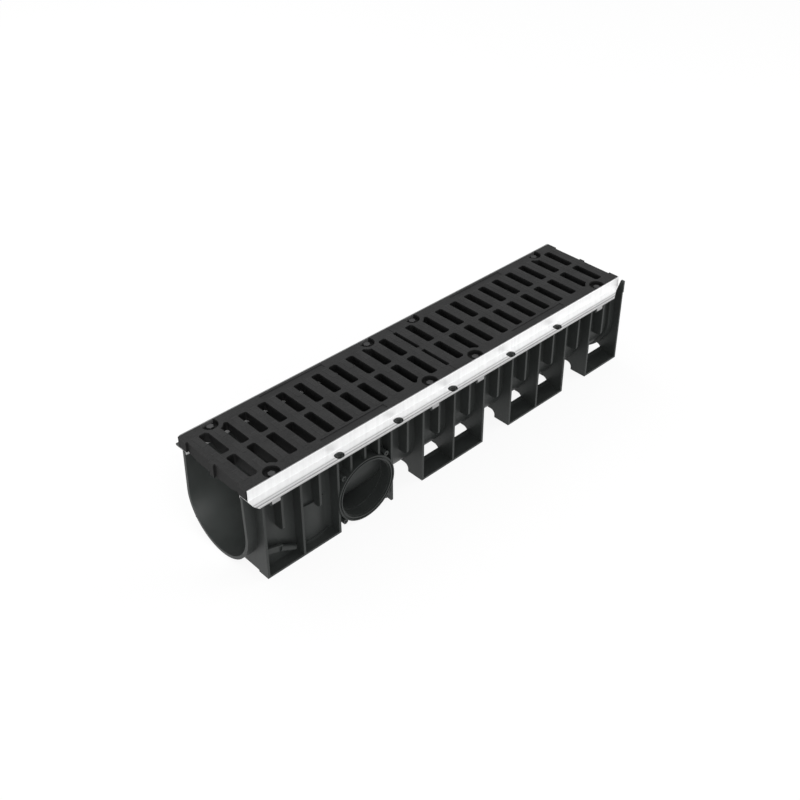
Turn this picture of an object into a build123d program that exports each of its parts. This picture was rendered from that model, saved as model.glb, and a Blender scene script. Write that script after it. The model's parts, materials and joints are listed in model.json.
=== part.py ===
from build123d import *

import os
from math import radians, tan

# Channel drain: a moulded plastic trough on feet, two steel edge rails and two slotted cast grates.
# X runs along the trough from the near collar to the far socket, Y across it with the side outlet
# at -Y, and Z up from the ground. All sizes are in millimetres.

# The channel as laid
LAID_LENGTH = 1000.0  # from one channel's grate to the next one's
SOCKET_REACH = 8.0  # the far socket goes this far past the laid length
WIDTH = 250.0  # over both rails
HEIGHT = 210.0  # ground to the top of the grates
FIT_GAP = 0.3  # clearance between separate pieces

# Steps across the channel, from the outside in
FOOT_INSET = 15.0  # edge of the rail to the outer face of the feet
GRATE_INSET = 27.0  # edge of the rail to the side of the grate
BOWL_INSET = 15.0  # side of the grate to the inside of the trough
SEAT_WIDTH = 21.0  # side of the grate to the seat's inner lip

# Trough section
FLOOR_Z = 10.0  # lowest line of the round floor
WALL = 5.0
WALL_LEAN = 3.0  # each wall leans in by this much at the rim
COLLAR_LENGTH = 21.0
COLLAR_WALL = 6.5
SOCKET_CLEARANCE = 0.7  # between the next channel's collar and this socket
SOCKET_WALL = 4.3
SOCKET_GROOVE = 8.5  # room for sealant past the end of the plugged-in collar

# Rim ledge that carries the rails
LEDGE_THICKNESS = 4.0
LEDGE_OVERHANG = 2.0  # past the feet
LEDGE_START = 3.0
LEDGE_END_GAP = 28.0

# Feet and ribs
RIB_THICKNESS = 5.0
RIB_PITCH = 42.0
FOOT_BAYS = 2
MIDDLE_FEET = (0.401, 0.651)  # where they start, as shares of the laid length
LAST_FOOT_INSET = 99.0  # its start, back from the end of the laid length
OUTLET_BAY_LENGTH = 130.0
RIB_END_DROP = 4.0  # the short ribs end this far below the bowl's axis
RIB_END_ROUND = 9.0
BASE_THICKNESS = 4.5
BASE_WIDTH = 39.0
RIM_THICKNESS = 3.0
RIM_HEIGHT = 13.0
TUNNEL_HEIGHT = 17.0
TUNNEL_ROUND = 11.0
FRONT_BASE_WIDTH = 26.0
FRONT_TUNNEL_HEIGHT = 4.0
SKIRT_THICKNESS = 4.0
VENT_X = 42.0
VENT_Z = 35.0
VENT_RADIUS = 4.0
END_PLATE_THICKNESS = 4.5

# Round swelling of the first foot's skirts, where the closed bottom outlet lies
DROP_X = 142.0
DROP_SWELL = 5.0  # past the skirts
DROP_LIP = 2.5
DROP_LIP_HEIGHT = 11.0

# Side outlet, closed by the trough's wall until it is cut open on site
OUTLET_BORE_RADIUS = 58.0
OUTLET_WALL = 10.0
OUTLET_AXIS_Z = 70.5
OUTLET_FACE_STEP = 3.0  # the mouth stands this far past the feet
OUTLET_BACK_Y = 20.0
OUTLET_BACK_WALL = 4.0
OUTLET_LIP_STEP = 2.0
OUTLET_LIP_DEPTH = 4.0
OUTLET_GROOVE = (62.5, 65.5)  # ring groove in the mouth's face, inner and outer radius
OUTLET_GROOVE_DEPTH = 12.0
PIPE_DEPTH = 24.0  # the pipe goes in as far as a shoulder
PIPE_STOP_STEP = 3.0
OUTLET_WEB_INSET = 16.0
OUTLET_WEB_THICKNESS = 4.0
SCREW_BOSS_OFFSET = 51.5
SCREW_BOSS_RADIUS = 5.5
SCREW_HOLE_RADIUS = 2.0
SCREW_HOLE_DEPTH = 10.0
OUTLET_RIBS = 3
OUTLET_RIB_PITCH = 33.5

# Anchor stub in the first bay
STUB_RADIUS = 6.0
STUB_INSET = 13.0
STUB_START = (60.0, 40.0)  # X and Z
STUB_END = (92.0, 22.0)
STUB_FIN_THICKNESS = 5.0

# Horns of the end plate, beside the ends of the rails
HORN_FOOT_DROP = 38.0  # below the top of the grates, as are the next two
HORN_TOP_DROP = 9.5
HORN_ROOT_DROP = 52.0
HORN_OVERHANG = 1.5
HORN_TIP_WIDTH = 7.7
HORN_ROOT_WIDTH = 19.0

# Steel edge rails
SHEET = 2.0
RAIL_START = 1.0
RAIL_END_GAP = 1.0
SEAT_DEPTH = 22.0  # grate top down to the seat
LIP_DROP = 7.0
LEG_THICKNESS = 2.5
JOGGLE_START = 9.0  # in from the rail's edge
JOGGLE_END = 4.0
JOGGLE_DROP = 2.0
FLANGE_CUT_LENGTH = 45.0
ANCHOR_HOLES = (0.19, 0.332, 0.474, 0.638, 0.78)  # shares of the laid length
ANCHOR_HOLE_INSET = 11.0
ANCHOR_HOLE_LENGTH = 20.0
ANCHOR_HOLE_WIDTH = 16.0
ANCHOR_LUG_THICKNESS = 4.0
ANCHOR_LUG_HALF_WIDTH = 8.0
ANCHOR_BORE_RADIUS = 4.5
FIRST_TAB_X = 42.0
MIDDLE_TABS = (0.418, 0.541)  # shares of the laid length
LAST_TAB_INSET = 93.0
TAB_WIDTH = 17.0
TAB_DROP = 7.0
CLIP_WIDTH = 22.0
CLIP_HEIGHT = 10.0

# Cast grates
GRATES = 2
GRATE_GAP = 1.0
GRATE_BELLY = 7.0
BELLY_CLEARANCE = 4.0  # to the seat's lip
BELLY_SLOPE_WIDTH = 21.0
SLOTS = 11
FIRST_SLOT_X = 36.5
SLOT_WIDTH = 19.0
SLOT_INNER_Y = 6.0
SLOT_INSET = 23.0  # side of the grate to the end of a slot
SLOT_CORNER = 3.0
SLOT_TAPER = 7.0  # degrees, opening downwards
END_RECESS_DEPTH = 4.0
BOLT_INSET_X = 62.0
BOLT_INSET_Y = 9.5
BOLT_BOSS_RADIUS = 24.0
BOLT_RECESS_RADIUS = 16.0
BOLT_RECESS_DEPTH = 9.0
STRIP_DEPTH = 1.2
STRIP_WIDTH = 12.0
STRIP_LENGTH = 150.0
STRIP_INSET = 11.0

# Grate bolts and captive nuts
BOLT_RADIUS = 4.0
BOLT_LENGTH = 33.0
BOLT_CLEARANCE = 0.5
THREAD_CLEARANCE = 0.05
SHANK_SIDES = 12  # a many-sided bar stands in for the thread
HEAD_ACROSS_FLATS = 13.0
HEAD_HEIGHT = 5.3
NUT_WIDTH = 13.0
NUT_HEIGHT = 6.5
NUT_DROP = 12.0  # from the seat to the top of the nut
NUT_BOSS_LENGTH = 20.0
NUT_BOSS_HEIGHT = 25.0

# Sizes worked out from those above, across
RAIL_HALF_WIDTH = WIDTH / 2
FOOT_HALF_WIDTH = RAIL_HALF_WIDTH - FOOT_INSET
GRATE_HALF_WIDTH = RAIL_HALF_WIDTH - GRATE_INSET
LEDGE_HALF_WIDTH = FOOT_HALF_WIDTH + LEDGE_OVERHANG
LEG_INNER_Y = GRATE_HALF_WIDTH + FIT_GAP
LEG_OUTER_Y = LEG_INNER_Y + LEG_THICKNESS
SEAT_INNER_Y = GRATE_HALF_WIDTH - SEAT_WIDTH
ANCHOR_Y = RAIL_HALF_WIDTH - ANCHOR_HOLE_INSET
BOLT_Y = GRATE_HALF_WIDTH - BOLT_INSET_Y
SLOT_OUTER_Y = GRATE_HALF_WIDTH - SLOT_INSET
BELLY_HALF_WIDTH = SEAT_INNER_Y - BELLY_CLEARANCE
BASE_INNER_Y = FOOT_HALF_WIDTH - BASE_WIDTH
FRONT_TUNNEL_Y = FOOT_HALF_WIDTH - FRONT_BASE_WIDTH
OUTLET_FACE_Y = FOOT_HALF_WIDTH + OUTLET_FACE_STEP
OUTLET_WEB_Y = FOOT_HALF_WIDTH - OUTLET_WEB_INSET
STUB_Y = FOOT_HALF_WIDTH - STUB_INSET
BOWL_RADIUS = GRATE_HALF_WIDTH - BOWL_INSET  # inside
BOWL_AXIS_Z = FLOOR_Z + BOWL_RADIUS
BOWL_OUTER = BOWL_RADIUS + WALL
COLLAR_OUTER = BOWL_RADIUS + COLLAR_WALL
SOCKET_INNER = COLLAR_OUTER + SOCKET_CLEARANCE
SOCKET_OUTER = SOCKET_INNER + SOCKET_WALL
OUTLET_OUTER = OUTLET_BORE_RADIUS + OUTLET_WALL

# Sizes worked out from those above, along
TOTAL_LENGTH = LAID_LENGTH + SOCKET_REACH
SOCKET_STEP_X = LAID_LENGTH - SOCKET_GROOVE
SOCKET_START = SOCKET_STEP_X - SOCKET_WALL
FOOT_LENGTH = FOOT_BAYS * 2 * RIB_PITCH
FIRST_FOOT_X = COLLAR_LENGTH
OUTLET_START = FIRST_FOOT_X + FOOT_LENGTH
OUTLET_END = OUTLET_START + OUTLET_BAY_LENGTH
OUTLET_X = (OUTLET_START + OUTLET_END) / 2
FEET_X = tuple(share * LAID_LENGTH for share in MIDDLE_FEET)
LAST_FOOT_X = LAID_LENGTH - LAST_FOOT_INSET
RAIL_END = LAID_LENGTH - RAIL_END_GAP
ANCHOR_HOLES_X = tuple(share * LAID_LENGTH for share in ANCHOR_HOLES)
TABS_X = (FIRST_TAB_X, *(share * LAID_LENGTH for share in MIDDLE_TABS), LAID_LENGTH - LAST_TAB_INSET)
GRATE_PITCH = LAID_LENGTH / GRATES
SLOT_PITCH = (GRATE_PITCH - 2 * FIRST_SLOT_X) / (SLOTS - 1)
HALF_RIB = RIB_THICKNESS / 2

# Sizes worked out from those above, upwards
SEAT_Z = HEIGHT - SEAT_DEPTH
RIM_Z = SEAT_Z - SHEET
LEDGE_Z = RIM_Z - LEDGE_THICKNESS
LUG_TOP_Z = RIM_Z - JOGGLE_DROP - FIT_GAP
RIB_END_Z = BOWL_AXIS_Z - RIB_END_DROP
HEAD_Z = HEIGHT - BOLT_RECESS_DEPTH
NUT_TOP_Z = SEAT_Z - NUT_DROP

SIDES = (-1, 1)
UPWARDS = (Align.CENTER, Align.CENTER, Align.MIN)


def place(solid):
    """Move a solid from the channel's own X to the model frame, centred on the whole length."""
    return Pos(-TOTAL_LENGTH / 2, 0, 0) * solid


def block(x_range, y_range, z_range):
    """Box between two X, two Y and two Z values, each pair in any order."""
    (x0, x1), (y0, y1), (z0, z1) = (sorted(pair) for pair in (x_range, y_range, z_range))
    return Pos(x0, y0, z0) * Box(x1 - x0, y1 - y0, z1 - z0, align=(Align.MIN,) * 3)


def across(outline, x0, x1):
    """Extrude a closed YZ outline along X from x0 to x1."""
    face = Plane.YZ.offset(x0) * make_face(outline)
    return extrude(face, amount=x1 - x0, dir=(1, 0, 0))


def trough(radius, top_z, x0, x1):
    """Solid U bar: a half-round floor of the given radius and walls that lean in to the top."""
    top_y = radius - WALL_LEAN * (top_z - BOWL_AXIS_Z) / (RIM_Z - BOWL_AXIS_Z)
    left, right = (-radius, BOWL_AXIS_Z), (radius, BOWL_AXIS_Z)
    floor = ThreePointArc(left, (0, BOWL_AXIS_Z - radius), right)
    rim = Polyline(right, (top_y, top_z), (-top_y, top_z), left)
    return across(floor + rim, x0, x1)


def bolt_places():
    """X and side of every grate bolt."""
    return [
        (grate * GRATE_PITCH + inset, side)
        for grate in range(GRATES)
        for inset in (BOLT_INSET_X, GRATE_PITCH - BOLT_INSET_X)
        for side in SIDES
    ]


def bolt_hole(depth):
    """Tool for a bolt's clearance hole, from the origin downwards; hidden, so it has few sides."""
    return extrude(RegularPolygon(BOLT_RADIUS + BOLT_CLEARANCE, SHANK_SIDES), amount=-depth)


def tunnel(half_width, height, corner, x0, x1):
    """Tool for the low opening under the trough between a foot's left and right halves."""
    sketch = Pos(0, 0) * Rectangle(2 * half_width, 2 * height)
    if corner:
        sketch = fillet(sketch.vertices(), corner)
    return extrude(Plane.YZ.offset(x0) * sketch, amount=x1 - x0, dir=(1, 0, 0))


def cross_wall(x, half_width, height, corner):
    """Upright plate across the trough, standing on the ground on both sides of the tunnel."""
    x0, x1 = x - HALF_RIB, x + HALF_RIB
    plate = block((x0, x1), (-FOOT_HALF_WIDTH, FOOT_HALF_WIDTH), (0, LEDGE_Z))
    return plate - tunnel(half_width, height, corner, x0 - 1, x1 + 1)


def short_rib(x, side):
    """Rib from the ledge down to the start of the bowl, its lower outer corner rounded."""
    width = FOOT_HALF_WIDTH - BOWL_RADIUS
    outline = Pos(side * (BOWL_RADIUS + width / 2), (LEDGE_Z + RIB_END_Z) / 2) * Rectangle(
        width, LEDGE_Z - RIB_END_Z
    )
    corner = outline.vertices().sort_by(Axis.Y)[:2].sort_by(Axis.X)[0 if side < 0 else -1]
    outline = fillet(corner, RIB_END_ROUND)
    return extrude(Plane.YZ.offset(x - HALF_RIB) * outline, amount=RIB_THICKNESS, dir=(1, 0, 0))


def foot(x0, x1, inner_y):
    """Ground plates of one foot, each with an upturned inner edge."""
    pieces = []
    for side in SIDES:
        reach = (side * inner_y, side * FOOT_HALF_WIDTH)
        pieces.append(block((x0 - HALF_RIB, x1), reach, (0, BASE_THICKNESS)))
        rim = (side * inner_y, side * (inner_y + RIM_THICKNESS))
        pieces.append(block((x0 - HALF_RIB, x1), rim, (0, RIM_HEIGHT)))
    return pieces


def feet_and_ribs():
    """Every cross wall, short rib and ground plate of the body."""
    pieces = []
    pieces.append(cross_wall(FIRST_FOOT_X + HALF_RIB, FRONT_TUNNEL_Y, FRONT_TUNNEL_HEIGHT, 0))
    full = [FIRST_FOOT_X + 2 * RIB_PITCH * (bay + 1) for bay in range(FOOT_BAYS)]
    full.append(OUTLET_END)
    for start in FEET_X:
        full.extend(start + 2 * RIB_PITCH * bay for bay in range(FOOT_BAYS + 1))
    full.append(LAST_FOOT_X)
    pieces.extend(cross_wall(x, BASE_INNER_Y, TUNNEL_HEIGHT, TUNNEL_ROUND) for x in full)
    short = [FIRST_FOOT_X + RIB_PITCH * (2 * bay + 1) for bay in range(FOOT_BAYS)]
    for start in FEET_X:
        short.extend(start + RIB_PITCH * (2 * bay + 1) for bay in range(FOOT_BAYS))
    ends = (OUTLET_END, *(start + FOOT_LENGTH for start in FEET_X))
    short.extend((end + start) / 2 for end, start in zip(ends, (*FEET_X, LAST_FOOT_X)))
    short.append(LAST_FOOT_X + RIB_PITCH)
    pieces.extend(short_rib(x, side) for x in short for side in SIDES)
    middle = (OUTLET_RIBS - 1) / 2
    for index in range(OUTLET_RIBS):
        x = OUTLET_X + (index - middle) * OUTLET_RIB_PITCH
        pieces.extend(short_rib(x, side) for side in SIDES)
    pieces.extend(foot(FIRST_FOOT_X + HALF_RIB, OUTLET_START, FRONT_TUNNEL_Y))
    for start in FEET_X:
        pieces.extend(foot(start, start + FOOT_LENGTH, BASE_INNER_Y))
    pieces.extend(foot(LAST_FOOT_X, TOTAL_LENGTH, BASE_INNER_Y))
    return pieces


def first_foot_box():
    """Straight skirts that close the first foot's tunnel on both sides."""
    pieces = []
    for side in SIDES:
        outer = side * BOWL_OUTER
        skirt = block(
            (FIRST_FOOT_X, OUTLET_START), (outer, outer - side * SKIRT_THICKNESS), (0, BOWL_AXIS_Z)
        )
        vent = Pos(VENT_X, outer, VENT_Z) * Rot(90, 0, 0) * Cylinder(VENT_RADIUS, 4 * SKIRT_THICKNESS)
        pieces.append(skirt - vent)
    return pieces


def outlet_cylinder(radius, y0, y1):
    """Solid cylinder along Y on the outlet's axis between two distances from the centre plane."""
    middle = Pos(OUTLET_X, -(y0 + y1) / 2, OUTLET_AXIS_Z)
    return middle * Rot(90, 0, 0) * Cylinder(radius, abs(y1 - y0))


def outlet_bore():
    """Tool for the outlet's inside: a mouth, the pipe's seat and a narrower bore behind its shoulder."""
    mouth_y = OUTLET_FACE_Y - OUTLET_LIP_DEPTH
    mouth = outlet_cylinder(OUTLET_BORE_RADIUS + OUTLET_LIP_STEP, mouth_y, OUTLET_FACE_Y + 1)
    seat = outlet_cylinder(OUTLET_BORE_RADIUS, OUTLET_FACE_Y - PIPE_DEPTH, OUTLET_FACE_Y)
    back_y = OUTLET_BACK_Y + OUTLET_BACK_WALL
    return mouth + seat + outlet_cylinder(OUTLET_BORE_RADIUS - PIPE_STOP_STEP, back_y, OUTLET_FACE_Y)


def outlet_groove():
    """Tool for the ring groove in the mouth's face."""
    inner, outer = OUTLET_GROOVE
    span = (OUTLET_FACE_Y - OUTLET_GROOVE_DEPTH, OUTLET_FACE_Y + 1)
    return outlet_cylinder(outer, *span) - outlet_cylinder(inner, *span)


def screw_places():
    """X and Z of the four screw bosses round the outlet."""
    steps = (-SCREW_BOSS_OFFSET, SCREW_BOSS_OFFSET)
    return [(OUTLET_X + dx, OUTLET_AXIS_Z + dz) for dx in steps for dz in steps]


def outlet_housing():
    """Outlet tube before boring, with its web and screw bosses."""
    pieces = [outlet_cylinder(OUTLET_OUTER, OUTLET_BACK_Y, OUTLET_FACE_Y)]
    web = (-OUTLET_WEB_Y, -OUTLET_WEB_Y - OUTLET_WEB_THICKNESS)
    low = OUTLET_AXIS_Z - SCREW_BOSS_OFFSET - SCREW_BOSS_RADIUS
    pieces.append(block((OUTLET_START, OUTLET_END), web, (low, OUTLET_AXIS_Z)))
    depth = FOOT_HALF_WIDTH - BOWL_RADIUS
    for x, z in screw_places():
        boss = Pos(x, -BOWL_RADIUS - depth / 2, z) * Rot(90, 0, 0) * Cylinder(SCREW_BOSS_RADIUS, depth)
        pieces.append(boss)
    return pieces


def screw_holes():
    """Tools for the holes in the screw bosses."""
    hole = Rot(90, 0, 0) * Cylinder(SCREW_HOLE_RADIUS, 2 * SCREW_HOLE_DEPTH)
    return [Pos(x, -FOOT_HALF_WIDTH, z) * hole for x, z in screw_places()]


def drop_swelling():
    """Round swelling with a lip on both skirts of the first foot."""
    pieces = []
    for side in SIDES:
        reach = (side * (BOWL_OUTER - SKIRT_THICKNESS), side * FOOT_HALF_WIDTH)
        for radius, top in (
            (BOWL_OUTER + DROP_SWELL, BOWL_AXIS_Z),
            (BOWL_OUTER + DROP_SWELL + DROP_LIP, DROP_LIP_HEIGHT),
        ):
            drum = Pos(DROP_X, 0, 0) * Cylinder(radius, top, align=UPWARDS)
            pieces.append(drum & block((FIRST_FOOT_X, OUTLET_START), reach, (0, top)))
    return pieces


def anchor_stub():
    """Sloping round stub and its fin in the first bay, on the outlet side."""
    (x0, z0), (x1, z1) = STUB_START, STUB_END
    start, end = Vector(x0, -STUB_Y, z0), Vector(x1, -STUB_Y, z1)
    section = Plane(origin=start, z_dir=end - start) * Circle(STUB_RADIUS)
    stub = extrude(section, amount=(end - start).length)
    wall_x = FIRST_FOOT_X + RIB_THICKNESS
    fin = Polyline(
        (wall_x, z0 + 3 * STUB_RADIUS),
        (x0 + STUB_RADIUS, z0 + STUB_RADIUS),
        (x0, z0 - STUB_RADIUS),
        (wall_x, z0 + STUB_RADIUS),
        close=True,
    )
    fin_plane = Plane.XZ.offset(STUB_Y + STUB_FIN_THICKNESS / 2)
    web = extrude(fin_plane * make_face(fin), amount=-STUB_FIN_THICKNESS)
    span = (x0 - STUB_RADIUS, x0 + STUB_RADIUS)
    arm = block(span, (-STUB_Y, -BOWL_RADIUS), (z0 - STUB_RADIUS / 2, z0 + STUB_RADIUS / 2))
    return [stub, web, arm]


def anchor_lugs():
    """Lugs under the rails' oval holes, one for each anchor screw."""
    pieces = []
    for x in ANCHOR_HOLES_X:
        for side in SIDES:
            span = (x - ANCHOR_LUG_HALF_WIDTH, x + ANCHOR_LUG_HALF_WIDTH)
            reach = (side * BOWL_RADIUS, side * (ANCHOR_Y + ANCHOR_LUG_HALF_WIDTH))
            pieces.append(block(span, reach, (LUG_TOP_Z - ANCHOR_LUG_THICKNESS, LUG_TOP_Z)))
    return pieces


def anchor_bores():
    """Tools for the anchor screws' holes."""
    bore = Cylinder(ANCHOR_BORE_RADIUS, 2 * (ANCHOR_LUG_THICKNESS + LEDGE_THICKNESS))
    return [Pos(x, side * ANCHOR_Y, LUG_TOP_Z) * bore for x in ANCHOR_HOLES_X for side in SIDES]


def rail_clips():
    """Blocks under the rails' bent-down tabs."""
    pieces = []
    for x in TABS_X:
        for side in SIDES:
            span = (x - CLIP_WIDTH / 2, x + CLIP_WIDTH / 2)
            outer = (side * FOOT_HALF_WIDTH, side * (RAIL_HALF_WIDTH - SHEET - FIT_GAP))
            pieces.append(block(span, outer, (LUG_TOP_Z - CLIP_HEIGHT, LUG_TOP_Z)))
            inner = (side * BOWL_RADIUS, side * FOOT_HALF_WIDTH)
            pieces.append(block(span, inner, (LUG_TOP_Z - CLIP_HEIGHT, LEDGE_Z)))
    return pieces


def nut_bosses():
    """Blocks below the ledge that hold the captive nuts."""
    half = NUT_BOSS_LENGTH / 2
    low = RIM_Z - NUT_BOSS_HEIGHT
    return [
        block((x - half, x + half), (side * BOWL_RADIUS, side * GRATE_HALF_WIDTH), (low, LEDGE_Z))
        for x, side in bolt_places()
    ]


def end_plate():
    """Upright plate at the far end, with a horn on each side that rises beside the rail."""
    outer = FOOT_HALF_WIDTH + HORN_OVERHANG
    half = [
        (FOOT_HALF_WIDTH, 0),
        (FOOT_HALF_WIDTH, HEIGHT - HORN_FOOT_DROP),
        (outer, HEIGHT - HORN_FOOT_DROP),
        (outer, HEIGHT - HORN_TOP_DROP),
        (outer - HORN_TIP_WIDTH, HEIGHT - HORN_TOP_DROP),
        (FOOT_HALF_WIDTH - HORN_ROOT_WIDTH, HEIGHT - HORN_ROOT_DROP),
    ]
    outline = half + [(-y, z) for y, z in reversed(half)]
    x0 = TOTAL_LENGTH - END_PLATE_THICKNESS
    plate = across(Polyline(outline, close=True), x0, TOTAL_LENGTH)
    return plate - tunnel(BASE_INNER_Y, TUNNEL_HEIGHT, TUNNEL_ROUND, x0 - 1, TOTAL_LENGTH + 1)


def make_body():
    """One-piece moulded trough with its collar, socket, feet, ribs and outlets."""
    shell = trough(BOWL_OUTER, RIM_Z, 0, SOCKET_START)
    pieces = [trough(COLLAR_OUTER, RIM_Z, 0, COLLAR_LENGTH)]
    pieces.append(trough(SOCKET_OUTER, RIM_Z, SOCKET_START, TOTAL_LENGTH))
    for side in SIDES:
        ledge = (side * (BOWL_RADIUS - WALL_LEAN), side * LEDGE_HALF_WIDTH)
        pieces.append(block((LEDGE_START, LAID_LENGTH - LEDGE_END_GAP), ledge, (LEDGE_Z, RIM_Z)))
    pieces.extend(feet_and_ribs())
    pieces.extend(first_foot_box())
    pieces.extend(drop_swelling())
    pieces.extend(outlet_housing())
    pieces.extend(anchor_stub())
    pieces.append(end_plate())
    pieces.extend(anchor_lugs())
    pieces.extend(rail_clips())
    pieces.extend(nut_bosses())
    body = shell + pieces
    body -= outlet_bore() - shell
    body -= outlet_groove()
    body -= screw_holes()
    body -= trough(BOWL_RADIUS, HEIGHT, -1, SOCKET_START)
    body -= trough(BOWL_RADIUS, HEIGHT, SOCKET_START - 1, SOCKET_STEP_X)
    body -= trough(SOCKET_INNER, HEIGHT, SOCKET_STEP_X, TOTAL_LENGTH + 1)
    body -= block((-1, TOTAL_LENGTH + 1), (-HEIGHT, HEIGHT), (-HEIGHT, 0))
    return body - anchor_bores() - [nut_pocket(x, side) for x, side in bolt_places()]


def nut_pocket(x, side):
    """Tool for a bolt hole and the slot that a square nut slides into from outside."""
    depth = NUT_BOSS_HEIGHT - WALL
    hole = Pos(x, side * BOLT_Y, RIM_Z) * bolt_hole(depth)
    half = NUT_WIDTH / 2 + FIT_GAP
    reach = (side * (BOLT_Y - half), side * (FOOT_HALF_WIDTH + 1))
    slot = block((x - half, x + half), reach, (NUT_TOP_Z - NUT_HEIGHT - FIT_GAP, NUT_TOP_Z))
    return hole + slot


def make_rail(side):
    """Folded steel rail: grate seat with a lip, upright leg and a joggled outer flange."""
    low = SEAT_Z - SHEET
    joggle_start = RAIL_HALF_WIDTH - JOGGLE_START
    joggle_end = RAIL_HALF_WIDTH - JOGGLE_END
    half = [
        (SEAT_INNER_Y, SEAT_Z),
        (LEG_INNER_Y, SEAT_Z),
        (LEG_INNER_Y, HEIGHT),
        (LEG_OUTER_Y, HEIGHT),
        (LEG_OUTER_Y, SEAT_Z),
        (joggle_start, SEAT_Z),
        (joggle_end, SEAT_Z - JOGGLE_DROP),
        (RAIL_HALF_WIDTH, SEAT_Z - JOGGLE_DROP),
        (RAIL_HALF_WIDTH, low - JOGGLE_DROP),
        (joggle_end, low - JOGGLE_DROP),
        (joggle_start, low),
        (SEAT_INNER_Y + SHEET, low),
        (SEAT_INNER_Y + SHEET, SEAT_Z - LIP_DROP),
        (SEAT_INNER_Y, SEAT_Z - LIP_DROP),
    ]
    outline = Polyline([(side * y, z) for y, z in half], close=True)
    rail = across(outline, RAIL_START, RAIL_END)
    for x in ANCHOR_HOLES_X:
        hole = Pos(x, side * ANCHOR_Y, SEAT_Z) * SlotOverall(ANCHOR_HOLE_LENGTH, ANCHOR_HOLE_WIDTH)
        rail -= extrude(hole, amount=SEAT_DEPTH / 2, both=True)
    for x, bolt_side in bolt_places():
        if bolt_side == side:
            rail -= Pos(x, side * BOLT_Y, SEAT_Z + SHEET) * bolt_hole(3 * SHEET)
    edge = (side * (RAIL_HALF_WIDTH - SHEET), side * RAIL_HALF_WIDTH)
    for x in TABS_X:
        span = (x - TAB_WIDTH / 2, x + TAB_WIDTH / 2)
        rail += block(span, edge, (low - JOGGLE_DROP - TAB_DROP, SEAT_Z - JOGGLE_DROP))
    corner = Polyline(
        (RAIL_END - FLANGE_CUT_LENGTH, side * (RAIL_HALF_WIDTH + 1)),
        (RAIL_END + 1, side * (RAIL_HALF_WIDTH + 1)),
        (RAIL_END + 1, side * LEG_OUTER_Y),
        (RAIL_END - SHEET, side * LEG_OUTER_Y),
        close=True,
    )
    rail -= extrude(Pos(0, 0, SEAT_Z) * make_face(corner), amount=SEAT_DEPTH / 2, both=True)
    return rail


def grate_profile():
    """Closed cross-section of a grate, with the deeper middle of its underside."""
    half = [
        (BELLY_HALF_WIDTH - BELLY_SLOPE_WIDTH, SEAT_Z - GRATE_BELLY),
        (BELLY_HALF_WIDTH, SEAT_Z),
        (GRATE_HALF_WIDTH, SEAT_Z),
        (GRATE_HALF_WIDTH, HEIGHT),
    ]
    return Polyline(half + [(-y, z) for y, z in reversed(half)], close=True)


def slot_tool():
    """Tool for one slot, centred under the origin and wider towards its bottom on all four sides."""
    depth = SEAT_DEPTH + GRATE_BELLY + 1
    growth = depth * tan(radians(SLOT_TAPER))
    half_x, half_y = SLOT_WIDTH / 2, (SLOT_OUTER_Y - SLOT_INNER_Y) / 2
    sides = []
    for half in (half_x, half_y):
        low = half + growth
        sides.append(Polyline((-half, 0), (half, 0), (low, -depth), (-low, -depth), close=True))
    reach = 2 * (half_y + growth)
    wedge = extrude(Plane.XZ * make_face(sides[0]), amount=reach, both=True)
    wedge &= extrude(Plane.YZ * make_face(sides[1]), amount=reach, both=True)
    upright = [edge for edge in wedge.edges() if edge.bounding_box().size.Z > depth / 2]
    return chamfer(upright, SLOT_CORNER)


def slot_tools(start):
    """Tools for a grate's two rows of slots."""
    tool = slot_tool()
    middle_y = (SLOT_INNER_Y + SLOT_OUTER_Y) / 2
    rows = [start + FIRST_SLOT_X + number * SLOT_PITCH for number in range(SLOTS)]
    return [Pos(x, side * middle_y, HEIGHT) * tool for x in rows for side in SIDES]


def make_grate(index):
    """Cast grate with two rows of tapered slots, a deeper middle and bolt recesses."""
    start = index * GRATE_PITCH
    x0, x1 = start + GRATE_GAP / 2, start + GRATE_PITCH - GRATE_GAP / 2
    grate = across(grate_profile(), x0, x1) - slot_tools(start)
    edges = block((x0, x1), (-GRATE_HALF_WIDTH, GRATE_HALF_WIDTH), (SEAT_Z, HEIGHT))
    insets = (BOLT_INSET_X, GRATE_PITCH - BOLT_INSET_X)
    bolts = [Pos(start + inset, side * BOLT_Y, 0) for inset in insets for side in SIDES]
    for bolt in bolts:
        boss = bolt * Pos(0, 0, SEAT_Z) * Cylinder(BOLT_BOSS_RADIUS, SEAT_DEPTH, align=UPWARDS)
        grate += boss & edges
    for bolt in bolts:
        top = bolt * Pos(0, 0, HEIGHT)
        grate -= top * Cylinder(BOLT_RECESS_RADIUS, 2 * BOLT_RECESS_DEPTH)
        grate -= top * bolt_hole(2 * SEAT_DEPTH)
    for side in SIDES:
        reach = (side * SLOT_INNER_Y, side * SLOT_OUTER_Y)
        for end in (x0, x1):
            grate -= block((end - END_RECESS_DEPTH, end + END_RECESS_DEPTH), reach, (0, HEIGHT + 1))
        middle = start + GRATE_PITCH / 2
        strip_y = side * (GRATE_HALF_WIDTH - STRIP_INSET)
        strip = (strip_y - STRIP_WIDTH / 2, strip_y + STRIP_WIDTH / 2)
        span = (middle - STRIP_LENGTH / 2, middle + STRIP_LENGTH / 2)
        grate -= block(span, strip, (HEIGHT - STRIP_DEPTH, HEIGHT + 1))
    return grate


def make_bolt(x, side):
    """Hexagon bolt that seats in a grate's recess."""
    head = extrude(RegularPolygon(HEAD_ACROSS_FLATS / 2, 6, major_radius=False), amount=HEAD_HEIGHT)
    shank = extrude(RegularPolygon(BOLT_RADIUS, SHANK_SIDES), amount=-BOLT_LENGTH)
    return Pos(x, side * BOLT_Y, HEAD_Z) * (head + shank)


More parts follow.
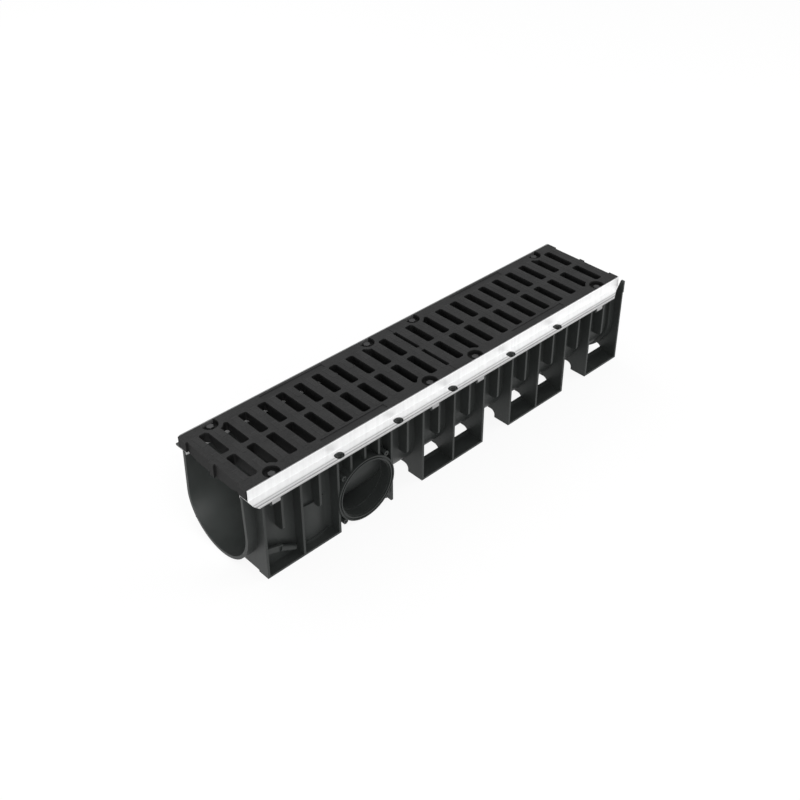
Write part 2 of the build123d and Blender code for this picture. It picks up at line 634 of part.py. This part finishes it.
def make_nut(x, side):
    """Square nut that slides into its pocket under the rim."""
    thread = RegularPolygon(BOLT_RADIUS + THREAD_CLEARANCE, SHANK_SIDES)
    outline = Rectangle(NUT_WIDTH, NUT_WIDTH) - thread
    return Pos(x, side * BOLT_Y, NUT_TOP_Z) * extrude(outline, amount=-NUT_HEIGHT)


def main():
    """Build every piece and write one STEP file for each."""
    pieces = {"channel_body": make_body()}
    pieces["rail_outlet_side"] = make_rail(-1)
    pieces["rail_plain_side"] = make_rail(1)
    for index, name in enumerate(("grate_near", "grate_far")):
        pieces[name] = make_grate(index)
    for number, (x, side) in enumerate(bolt_places(), start=1):
        pieces[f"grate_bolt_{number}"] = make_bolt(x, side)
        pieces[f"captive_nut_{number}"] = make_nut(x, side)
    os.makedirs("parts", exist_ok=True)
    for name, solid in pieces.items():
        export_step(place(solid), f"parts/{name}.step")


main()
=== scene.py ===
"""Dresses the channel drain: finishes, rounded edges, floor, lamps and camera."""

from __future__ import annotations

import json
import logging
import math
from dataclasses import dataclass
from enum import Enum
from typing import Any, Iterable

import bpy
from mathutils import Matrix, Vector

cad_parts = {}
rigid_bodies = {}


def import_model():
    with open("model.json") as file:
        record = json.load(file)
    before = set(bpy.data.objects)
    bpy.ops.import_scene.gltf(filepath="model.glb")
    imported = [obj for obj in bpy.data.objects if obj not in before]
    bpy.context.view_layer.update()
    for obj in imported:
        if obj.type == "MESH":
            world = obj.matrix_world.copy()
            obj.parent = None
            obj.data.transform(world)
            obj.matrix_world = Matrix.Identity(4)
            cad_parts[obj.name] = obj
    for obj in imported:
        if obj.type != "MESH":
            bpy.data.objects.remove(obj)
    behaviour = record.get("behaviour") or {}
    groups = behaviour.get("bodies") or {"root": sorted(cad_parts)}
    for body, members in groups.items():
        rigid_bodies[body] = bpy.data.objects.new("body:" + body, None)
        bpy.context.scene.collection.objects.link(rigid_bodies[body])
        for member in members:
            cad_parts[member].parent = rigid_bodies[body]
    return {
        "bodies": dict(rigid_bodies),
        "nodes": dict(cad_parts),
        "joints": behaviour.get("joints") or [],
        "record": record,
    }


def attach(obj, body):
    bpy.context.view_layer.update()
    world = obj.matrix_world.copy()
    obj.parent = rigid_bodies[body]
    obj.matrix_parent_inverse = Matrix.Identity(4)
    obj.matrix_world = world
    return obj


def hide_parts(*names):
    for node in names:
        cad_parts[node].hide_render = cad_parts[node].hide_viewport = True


log = logging.getLogger("channel_drain")

BODY = "root"
FASTENERS = range(1, 9)
WHITE = (1.0, 1.0, 1.0, 1.0)

# Numbers of the colour sockets of a Mix node
MIX_FIRST = 6
MIX_SECOND = 7
MIX_RESULT = 2

Triple = tuple[float, float, float]


class Tint(Enum):
    """Base colours of the finishes, linear."""

    PLASTIC = (0.0250, 0.0276, 0.0265)
    IRON = (0.0165, 0.0166, 0.0168)
    ZINC = (0.97, 0.972, 0.974)
    BOLT = (0.030, 0.030, 0.031)
    NUT = (0.55, 0.56, 0.58)
    FLOOR = (0.82, 0.82, 0.82)


class Value:
    """A shader socket that ordinary operators work on; each operator adds one Math node."""

    def __init__(self, board: "Board", socket: bpy.types.NodeSocket) -> None:
        """Wrap one output socket of a board's node."""
        self.board = board
        self.socket = socket

    def _math(self, operation: str, first: Any, second: Any) -> "Value":
        """Add a Math node.

        Args:
            operation: The Math node's operation.
            first: A Value or a number for its first input.
            second: A Value or a number for its second input.

        Returns:
            The node's result.
        """
        return self.board.add("ShaderNodeMath", {"operation": operation}, {0: first, 1: second})

    def __add__(self, other: Any) -> "Value":
        """Sum of this value and another."""
        return self._math("ADD", self, other)

    __radd__ = __add__

    def __sub__(self, other: Any) -> "Value":
        """This value less another."""
        return self._math("SUBTRACT", self, other)

    def __rsub__(self, other: Any) -> "Value":
        """Another value less this one."""
        return self._math("SUBTRACT", other, self)

    def __mul__(self, other: Any) -> "Value":
        """Product of this value and another."""
        return self._math("MULTIPLY", self, other)

    __rmul__ = __mul__

    def __truediv__(self, other: Any) -> "Value":
        """This value divided by another."""
        return self._math("DIVIDE", self, other)

    def __abs__(self) -> "Value":
        """This value without its sign."""
        return self._math("ABSOLUTE", self, 0.0)

    def repeat(self, pitch: float) -> "Value":
        """Distance from the nearest whole multiple of a pitch, with its sign."""
        return self - self._math("ROUND", self / pitch, 0.0) * pitch


class Board:
    """Node tree of one material, or of the world, with one method that adds nodes."""

    def __init__(self, tree: bpy.types.NodeTree) -> None:
        """Empty the tree and keep it."""
        tree.nodes.clear()
        self.tree = tree

    def add(
        self,
        kind: str,
        settings: dict[str, Any] | None = None,
        inputs: dict[Any, Any] | None = None,
        output: Any = 0,
    ) -> Value:
        """Add a node.

        Args:
            kind: The node's type.
            settings: Properties that are set first.
            inputs: Values or links, by the socket's name or number.
            output: Name or number of the output that is returned.

        Returns:
            The chosen output.
        """
        node = self.tree.nodes.new(kind)
        for name, value in (settings or {}).items():
            if name == "stops":
                self._set_stops(node, value)
            else:
                setattr(node, name, value)
        for name, value in (inputs or {}).items():
            if isinstance(value, Value):
                self.tree.links.new(value.socket, node.inputs[name])
            else:
                node.inputs[name].default_value = value
        if not node.outputs:
            return Value(self, node.inputs[0])
        return Value(self, node.outputs[output])

    @staticmethod
    def _set_stops(node: bpy.types.Node, stops: Iterable[tuple[float, float]]) -> None:
        """Give a colour ramp its grey stops, as pairs of place and brightness."""
        ramp = node.color_ramp
        stops = list(stops)
        while len(ramp.elements) < len(stops):
            ramp.elements.new(1.0)
        for element, (place, level) in zip(ramp.elements, stops):
            element.position = place
            element.color = (level, level, level, 1.0)

    def noise(self, scale: Triple, detail: float = 3.0, roughness: float = 0.5) -> Value:
        """Grey noise on the object's own coordinates.

        Args:
            scale: Waves to a metre along each axis.
            detail: Octaves of finer noise.
            roughness: Strength of each finer octave.

        Returns:
            The noise, about 0.5 on average.
        """
        place = self.add("ShaderNodeTexCoord", output="Object")
        mapped = self.add("ShaderNodeMapping", inputs={"Vector": place, "Scale": scale})
        settings = {"Vector": mapped, "Scale": 1.0, "Detail": detail, "Roughness": roughness}
        return self.add("ShaderNodeTexNoise", inputs=settings, output="Fac")

    def place(self, axis: str) -> Value:
        """One coordinate, X, Y or Z, in metres."""
        whole = self.add("ShaderNodeTexCoord", output="Object")
        return self.add("ShaderNodeSeparateXYZ", inputs={"Vector": whole}, output=axis)

    def curve(self, value: Value, points: Iterable[tuple[float, float]]) -> Value:
        """Grey level that follows a value by a list of points.

        Args:
            value: The value that is looked up.
            points: Pairs of a value and its level, in rising order.

        Returns:
            The level.
        """
        points = list(points)
        low, high = points[0][0], points[-1][0]
        stops = [((place - low) / (high - low), level) for place, level in points]
        inputs = {"Fac": self.ramp(value, low, high)}
        return self.add("ShaderNodeValToRGB", {"stops": stops}, inputs, output="Color")

    def waves(self, value: Value, count: float) -> Value:
        """Grey noise that follows one value only, with so many waves to a metre."""
        spread = self.add("ShaderNodeCombineXYZ", inputs={"X": value * count})
        settings = {"Vector": spread, "Scale": 1.0, "Detail": 3.0, "Roughness": 0.62}
        return self.add("ShaderNodeTexNoise", inputs=settings, output="Fac")

    def ramp(self, value: Value, low: float, high: float) -> Value:
        """Stretch a value so that low becomes 0 and high becomes 1, clamped."""
        inputs = {"Value": value, "From Min": low, "From Max": high}
        return self.add("ShaderNodeMapRange", inputs=inputs)

    def mix(self, factor: Value, first: Value | Triple, second: Value | Triple) -> Value:
        """Blend two colours, which may themselves vary.

        Args:
            factor: Share of the second colour.
            first: The colour where the factor is 0.
            second: The colour where the factor is 1.

        Returns:
            The blended colour.
        """
        first, second = (c if isinstance(c, Value) else (*c, 1.0) for c in (first, second))
        inputs = {"Factor": factor, MIX_FIRST: first, MIX_SECOND: second}
        return self.add("ShaderNodeMix", {"data_type": "RGBA"}, inputs, output=MIX_RESULT)

    def bump(self, height: Value, distance: float, strength: float = 1.0) -> Value:
        """Normal from a height.

        Args:
            height: The height, 0 to 1.
            distance: Metres that a height of 1 stands for.
            strength: Share of the effect.

        Returns:
            The normal.
        """
        inputs = {"Height": height, "Distance": distance, "Strength": strength}
        return self.add("ShaderNodeBump", inputs=inputs)


def scaled(colour: Triple, factor: float) -> Triple:
    """Colour made lighter or darker by a factor."""
    return (colour[0] * factor, colour[1] * factor, colour[2] * factor)


def new_material(name: str) -> tuple[bpy.types.Material, Board]:
    """Empty material and the board of its nodes."""
    material = bpy.data.materials.new(name)
    material.use_nodes = True
    return material, Board(material.node_tree)


def surface(board: Board, inputs: dict[Any, Any]) -> None:
    """Finish a material with one Principled shader that has these inputs."""
    shader = board.add("ShaderNodeBsdfPrincipled", inputs=inputs)
    board.add("ShaderNodeOutputMaterial", inputs={"Surface": shader})


@dataclass(frozen=True)
class MouldedPlastic:
    """Near-black moulded plastic with a faint satin unevenness."""

    name: str = "moulded_plastic"
    tint: Tint = Tint.PLASTIC
    roughness: float = 0.44
    grain_height: float = 0.0001

    def build(self) -> bpy.types.Material:
        """Make the material."""
        material, board = new_material(self.name)
        cloud = board.noise((13.0, 13.0, 9.0), 5.0, 0.55)
        flow = board.noise((60.0, 60.0, 5.0), 3.0)
        grain = board.noise((900.0, 900.0, 900.0), 2.0)
        shade = board.ramp(cloud * 0.7 + flow * 0.3, 0.3, 0.7)
        colour = board.mix(shade, scaled(self.tint.value, 0.82), scaled(self.tint.value, 1.18))
        surface(
            board,
            {
                "Base Color": colour,
                "Roughness": self.roughness + (cloud - 0.5) * 0.2 + (grain - 0.5) * 0.06,
                "Specular IOR Level": 0.24,
                "Normal": board.bump(grain, self.grain_height),
            },
        )
        return material


@dataclass(frozen=True)
class CoatedIron:
    """Cast iron under a dark matt coating: sand-cast grain, slight mottling and low raised pads; below the
    top faces the colour is darkened as painted shade.
    """

    name: str = "coated_iron"
    tint: Tint = Tint.IRON
    roughness: float = 0.68
    relief: float = 0.0006
    grain_share: float = 0.55
    grate_pitch: float = 0.5
    bar_pitch: float = 0.0427
    pad_half_width: float = 0.005
    middle_pad_end: float = 0.016
    outer_pad: tuple[float, float] = (0.042, 0.075)
    soft_edge: float = 0.0012
    top: float = 0.2096
    top_softness: float = 0.0003
    # Depth below the top faces over which the painted shade below them fades in.
    shade_fade_depth: float = 0.004

    def pads(self, board: Board) -> Value:
        """Height of the low pads on the bars between the slots, 0 to 1.

        Args:
            board: The material's nodes.

        Returns:
            One on a pad, zero beside it.
        """
        across = abs(board.place("Y"))
        middle = self.grate_pitch / 2
        along = (board.place("X") - middle).repeat(self.grate_pitch)
        bar = abs((along - self.bar_pitch / 2).repeat(self.bar_pitch))
        edge = self.soft_edge
        on_bar = board.ramp(bar, self.pad_half_width + edge, self.pad_half_width)
        start, end = self.outer_pad
        centre = board.ramp(across, self.middle_pad_end + edge, self.middle_pad_end)
        outer = board.ramp(across, start, start + edge) * board.ramp(across, end + edge, end)
        on_top = board.ramp(board.place("Z"), self.top, self.top + self.top_softness)
        return on_bar * (centre + outer) * on_top

    def build(self) -> bpy.types.Material:
        """Make the material."""
        material, board = new_material(self.name)
        cloud = board.noise((24.0, 24.0, 24.0), 4.0)
        grain = board.noise((340.0, 340.0, 340.0), 4.0, 0.66)
        pads = self.pads(board)
        shade = board.ramp(cloud * 0.3 + grain * 0.7, 0.36, 0.64)
        # The top faces keep the mottled cast tone. Below them, the bars' sides and the slot walls get
        # painted shade that darkens them to under half.
        top_tone = board.mix(shade, scaled(self.tint.value, 0.5), scaled(self.tint.value, 1.5))
        painted_shade_below = board.mix(shade, scaled(self.tint.value, 0.3), scaled(self.tint.value, 0.5))
        near_top = board.ramp(board.place("Z"), self.top - self.shade_fade_depth, self.top)
        colour = board.mix(near_top, painted_shade_below, top_tone)
        surface(
            board,
            {
                "Base Color": colour,
                "Roughness": self.roughness + (grain - 0.5) * 0.22 - pads * 0.04,
                "Specular IOR Level": 0.2,
                "Normal": board.bump(pads + grain * self.grain_share, self.relief),
            },
        )
        return material


@dataclass(frozen=True)
class GalvanisedSheet:
    """Bright zinc-coated sheet with fine streaks across its length, darkened by painted shade: a little
    across the flange, more on the seat under the grate and at the outer edge, and most at the folds and in
    the gap beside the grate's edge.

    The painted shade stops pair a distance from the middle plane with a share of the unshaded sheet's
    brightness.
    """

    name: str = "galvanised_sheet"
    tint: Tint = Tint.ZINC
    roughness: float = 0.42
    slant: float = 0.96
    streaks_per_metre: float = 110.0
    fine_streaks_per_metre: float = 480.0
    # Painted shade levels: 1 keeps the sheet unshaded, and lower levels darken it as painted shade.
    painted_shade_stops: tuple[tuple[float, float], ...] = (
        (0.0785, 0.62),
        (0.0975, 0.80),
        (0.0981, 0.20),
        (0.0998, 0.14),
        (0.1003, 0.34),
        (0.1006, 1.0),
        (0.1009, 1.0),
        (0.1011, 0.86),
        (0.1040, 0.84),
        (0.1110, 0.84),
        (0.1135, 0.76),
        (0.1152, 0.62),
        (0.1160, 0.34),
        (0.1168, 0.62),
        (0.1178, 0.68),
        (0.1196, 0.54),
        (0.1206, 0.14),
        (0.1214, 0.50),
        (0.1236, 0.60),
        (0.1250, 0.40),
    )

    def build(self) -> bpy.types.Material:
        """Make the material."""
        material, board = new_material(self.name)
        slanted = board.place("X") - board.place("Y") * self.slant
        streak = board.waves(slanted, self.streaks_per_metre)
        fine = board.waves(slanted, self.fine_streaks_per_metre)
        bloom = board.noise((38.0, 38.0, 38.0), 3.0)
        shade = board.ramp(streak * 0.5 + fine * 0.3 + bloom * 0.2, 0.34, 0.66)
        unshaded = board.mix(shade, scaled(self.tint.value, 0.88), scaled(self.tint.value, 1.03))
        # Painted shade: the sheet darkened to about a fifth of its brightness where the levels fall.
        shaded_zinc = board.mix(shade, scaled(self.tint.value, 0.17), scaled(self.tint.value, 0.21))
        level = board.curve(abs(board.place("Y")), self.painted_shade_stops)
        surface(
            board,
            {
                "Base Color": board.mix(board.ramp(level, 0.2, 1.0), shaded_zinc, unshaded),
                "Roughness": self.roughness + (fine - 0.5) * 0.16,
                "Metallic": 0.5,
                "Normal": board.bump(streak, 0.00004),
            },
        )
        return material


@dataclass(frozen=True)
class PlainSteel:
    """Bare or plated steel of a small fastener."""

    name: str
    tint: Tint
    roughness: float = 0.5
    metallic: float = 0.5

    def build(self) -> bpy.types.Material:
        """Make the material."""
        material, board = new_material(self.name)
        cloud = board.noise((240.0, 240.0, 240.0), 4.0, 0.6)
        shade = board.ramp(cloud, 0.32, 0.68)
        colour = board.mix(shade, scaled(self.tint.value, 0.65), scaled(self.tint.value, 1.35))
        surface(
            board,
            {
                "Base Color": colour,
                "Roughness": self.roughness + (cloud - 0.5) * 0.3,
                "Metallic": self.metallic,
                "Normal": board.bump(cloud, 0.0001),
            },
        )
        return material


def give(piece: bpy.types.Object, material: bpy.types.Material) -> None:
    """Replace all materials of a piece with one."""
    piece.data.materials.clear()
    piece.data.materials.append(material)


def pick(piece: bpy.types.Object) -> None:
    """Select one piece alone and make it active."""
    bpy.ops.object.select_all(action="DESELECT")
    piece.select_set(True)
    bpy.context.view_layer.objects.active = piece


def apply_modifier(piece: bpy.types.Object, kind: str, settings: dict[str, Any]) -> None:
    """Add a modifier to a piece and apply it.

    Args:
        piece: The piece, selected and active.
        kind: The modifier's type.
        settings: Its properties.
    """
    modifier = piece.modifiers.new(kind.lower(), kind)
    for name, value in settings.items():
        setattr(modifier, name, value)
    bpy.ops.object.modifier_apply(modifier=modifier.name)


@dataclass
class Rounded:
    """Nodes whose sharp edges are rounded on a copy that stands for each of them."""

    nodes: tuple[str, ...]
    slot: str
    finish: Any
    round_radius: float
    segments: int = 2
    sharp_angle: float = math.radians(38.0)
    merge_distance: float = 0.00001
    flat_angle: float = math.radians(0.4)

    def copy_node(self, frame: dict[str, Any], node: str) -> bpy.types.Object:
        """Copy a node's mesh into a new piece with merged points and whole flat faces.

        Args:
            node: The node's name.

        Returns:
            The new piece, selected and active.
        """
        piece = bpy.data.objects.new(f"{node}_rounded", frame["nodes"][node].data.copy())
        bpy.context.collection.objects.link(piece)
        pick(piece)
        bpy.ops.object.mode_set(mode="EDIT")
        bpy.ops.mesh.select_all(action="SELECT")
        bpy.ops.mesh.remove_doubles(threshold=self.merge_distance)
        bpy.ops.mesh.dissolve_limited(angle_limit=self.flat_angle)
        bpy.ops.object.mode_set(mode="OBJECT")
        return piece

    def round_edges(self, piece: bpy.types.Object) -> None:
        """Round the sharp edges of a piece and shade it smooth across them."""
        bevel = {
            "width": self.round_radius,
            "segments": self.segments,
            "limit_method": "ANGLE",
            "angle_limit": self.sharp_angle,
            "use_clamp_overlap": True,
            "miter_outer": "MITER_ARC",
        }
        apply_modifier(piece, "BEVEL", bevel)
        bpy.ops.object.shade_smooth_by_angle(angle=self.sharp_angle)
        apply_modifier(piece, "WEIGHTED_NORMAL", {"keep_sharp": True, "weight": 50})

    def build(self, frame: dict[str, Any]) -> None:
        """Make, dress and attach the rounded copy of every node.
        """
        material = self.finish.build()
        for node in self.nodes:
            piece = self.copy_node(frame, node)
            self.round_edges(piece)
            give(piece, material)
            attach(piece, BODY)
            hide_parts(node)
            log.info("rounded %s: %d faces", node, len(piece.data.polygons))


@dataclass
class MouldedBody(Rounded):
    """Moulded trough; the ring groove in the outlet's mouth is shallow, as it looks in the photograph."""

    outlet_axis: tuple[float, float] = (-0.250, 0.0705)
    groove_radii: tuple[float, float] = (0.062, 0.066)
    groove_floor: float = -0.101
    groove_rise: float = 0.0095
    tolerance: float = 0.0002

    def copy_node(self, frame: dict[str, Any], node: str) -> bpy.types.Object:
        """Copy the body and lift the groove's floor towards the mouth.

        Args:
            node: The node's name.

        Returns:
            The new piece, selected and active.
        """
        piece = super().copy_node(frame, node)
        mesh = piece.data
        inner, outer = self.groove_radii
        for vertex in mesh.vertices:
            place = vertex.co
            radius = math.hypot(place.x - self.outlet_axis[0], place.z - self.outlet_axis[1])
            on_floor = abs(place.y - self.groove_floor) < self.tolerance
            vertex.select = on_floor and inner < radius < outer
        for part in (*mesh.edges, *mesh.polygons):
            part.select = all(mesh.vertices[index].select for index in part.vertices)
        lifted = sum(vertex.select for vertex in mesh.vertices)
        bpy.ops.object.mode_set(mode="EDIT")
        bpy.ops.transform.translate(value=(0.0, -self.groove_rise, 0.0))
        bpy.ops.object.mode_set(mode="OBJECT")
        log.info("lifted the groove's floor at %d points", lifted)
        return piece


@dataclass(frozen=True)
class FlangeCut:
    """Slanted cut across a rail's flange, from start to end with the part to cut off on the left."""

    node: str
    start: Triple
    end: Triple


@dataclass
class EdgeRails(Rounded):
    """Edge rails, whose flanges are cut off at a slant at the near end, as the photograph shows them."""

    cuts: tuple[FlangeCut, ...] = (
        FlangeCut("rail_plain_side", (-0.503, 0.0978, 0.0), (-0.449, 0.125, 0.0)),
        FlangeCut("rail_outlet_side", (-0.4974, -0.125, 0.0), (-0.503, -0.1008, 0.0)),
    )

    @staticmethod
    def cut_off(place: Triple, outwards: Triple) -> None:
        """Cut off all of the active piece that lies past a plane, and close it there."""
        bpy.ops.object.mode_set(mode="EDIT")
        bpy.ops.mesh.select_all(action="SELECT")
        bpy.ops.mesh.bisect(plane_co=place, plane_no=outwards, use_fill=True, clear_outer=True)
        bpy.ops.object.mode_set(mode="OBJECT")

    def copy_node(self, frame: dict[str, Any], node: str) -> bpy.types.Object:
        """Copy a rail and cut the near end of its flange off.

        Args:
            node: The node's name.

        Returns:
            The new piece, selected and active.
        """
        piece = super().copy_node(frame, node)
        for cut in self.cuts:
            if cut.node == node:
                (start_x, start_y, _), (end_x, end_y, _) = cut.start, cut.end
                self.cut_off(cut.start, (start_y - end_y, end_x - start_x, 0.0))
        return piece


@dataclass
class CaptiveNuts:
    """Square nuts in their pockets, which keep the mesh of the CAD."""

    finish: PlainSteel = PlainSteel("nut_steel", Tint.NUT, 0.4, 0.9)

    def build(self, frame: dict[str, Any]) -> None:
        """Dress every nut.
        """
        material = self.finish.build()
        for number in FASTENERS:
            give(frame["nodes"][f"captive_nut_{number}"], material)
        log.info("dressed %d nuts", len(FASTENERS))


@dataclass(frozen=True)
class Lamp:
    """Soft square lamp, turned to a target and not seen by the camera."""

    name: str
    at: Triple
    size: float
    power: float
    target: Triple = (0.0, 0.0, 0.1)
    spread: float = math.pi

    def place(self) -> None:
        """Add the lamp."""
        data = bpy.data.lights.new(self.name, "AREA")
        data.energy = self.power
        data.size = self.size
        data.spread = self.spread
        lamp = bpy.data.objects.new(self.name, data)
        lamp.location = self.at
        direction = Vector(self.target) - Vector(self.at)
        lamp.rotation_euler = direction.to_track_quat("-Z", "Y").to_euler()
        lamp.visible_camera = False
        bpy.context.collection.objects.link(lamp)


@dataclass
class Studio:
    """Floor, lamps and camera, the camera as solved from the photograph."""

    camera_at: Triple = (-1.28172, -1.29195, 1.45612)
    heading: float = 0.80768
    pitch: float = 0.59387
    lens: float = 50.757
    sensor: float = 36.0
    shift: tuple[float, float] = (-0.00625, -0.075)
    floor_size: float = 14.0
    floor_white: float = 0.85
    white_strength: float = 1.04
    sky_light: float = 0.62
    lamps: tuple[Lamp, ...] = (
        Lamp("key_lamp", (-1.6, -2.6, 2.6), 2.0, 42.0),
        Lamp("side_lamp", (2.4, -1.2, 1.8), 1.6, 20.0),
        Lamp("back_lamp", (0.4, 2.6, 2.4), 2.0, 24.0),
        Lamp("front_lamp", (-2.3, -2.1, 0.55), 1.3, 15.0),
        Lamp("plain_side_lamp", (-1.2, 2.6, 0.9), 1.4, 16.0),
        Lamp(
            name="mouth_lamp",
            at=(-0.478, -0.068, 0.085),
            size=0.07,
            power=0.065,
            target=(-0.465, 0.07, 0.045),
            spread=math.radians(120.0),
        ),
    )

    def place_camera(self) -> None:
        """Add the camera at the photograph's place and angle."""
        data = bpy.data.cameras.new("camera")
        data.sensor_width = self.sensor
        data.lens = self.lens
        data.shift_x, data.shift_y = self.shift
        data.clip_end = 50.0
        camera = bpy.data.objects.new("camera", data)
        camera.location = self.camera_at
        camera.rotation_euler = (math.pi / 2 - self.pitch, 0.0, self.heading - math.pi / 2)
        bpy.context.collection.objects.link(camera)
        bpy.context.scene.camera = camera

    def lay_floor(self) -> None:
        """Add the pale floor, whiter to the camera than to the light it bounces."""
        bpy.ops.mesh.primitive_plane_add(size=self.floor_size, location=(0.0, 0.0, 0.0))
        floor = bpy.context.object
        floor.name = "floor"
        material, board = new_material("pale_floor")
        seen = self._seen(board)
        diffuse = board.add("ShaderNodeBsdfDiffuse", inputs={"Color": (*Tint.FLOOR.value, 1.0)})
        glow = {"Color": WHITE, "Strength": self.white_strength}
        white = board.add("ShaderNodeEmission", inputs=glow)
        mixed = board.add("ShaderNodeMixShader", inputs={0: seen * self.floor_white, 1: diffuse, 2: white})
        board.add("ShaderNodeOutputMaterial", inputs={"Surface": mixed})
        give(floor, material)

    @staticmethod
    def _seen(board: Board) -> Value:
        """One for rays from the camera, straight or by a reflection, else zero."""
        camera = board.add("ShaderNodeLightPath", output="Is Camera Ray")
        glossy = board.add("ShaderNodeLightPath", output="Is Glossy Ray")
        through = board.add("ShaderNodeLightPath", output="Is Transmission Ray")
        return camera + glossy + through

    def paint_sky(self) -> None:
        """White surroundings at the plain light level."""
        world = bpy.data.worlds.new("white_room")
        world.use_nodes = True
        bpy.context.scene.world = world
        board = Board(world.node_tree)
        strength = self._seen(board) * (1.0 - self.sky_light) + self.sky_light
        inputs = {"Color": WHITE, "Strength": strength}
        sky = board.add("ShaderNodeBackground", inputs=inputs)
        board.add("ShaderNodeOutputWorld", inputs={"Surface": sky})

    def build(self) -> None:
        """Set up the whole studio."""
        self.lay_floor()
        self.paint_sky()
        for lamp in self.lamps:
            lamp.place()
        self.place_camera()
        bpy.context.scene.view_settings.view_transform = "Standard"
        log.info("studio ready")


def main() -> None:
    """Load the frame, dress every piece and set up the studio."""
    logging.basicConfig(level=logging.INFO, format="%(message)s")
    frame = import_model()
    bpy.ops.object.select_all(action="DESELECT")
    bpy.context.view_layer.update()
    bolts = tuple(f"grate_bolt_{number}" for number in FASTENERS)
    rails = ("rail_outlet_side", "rail_plain_side")
    grates = ("grate_near", "grate_far")
    for group in (
        MouldedBody(("channel_body",), "channel_plastic", MouldedPlastic(), 0.0008),
        Rounded(grates, "grate_iron", CoatedIron(), 0.0011),
        EdgeRails(rails, "rail_steel", GalvanisedSheet(), 0.0005),
        Rounded(bolts, "bolt_steel", PlainSteel("bolt_steel", Tint.BOLT), 0.0007),
        CaptiveNuts(),
    ):
        group.build(frame)
    Studio().build()


if __name__ == "__main__":
    main()
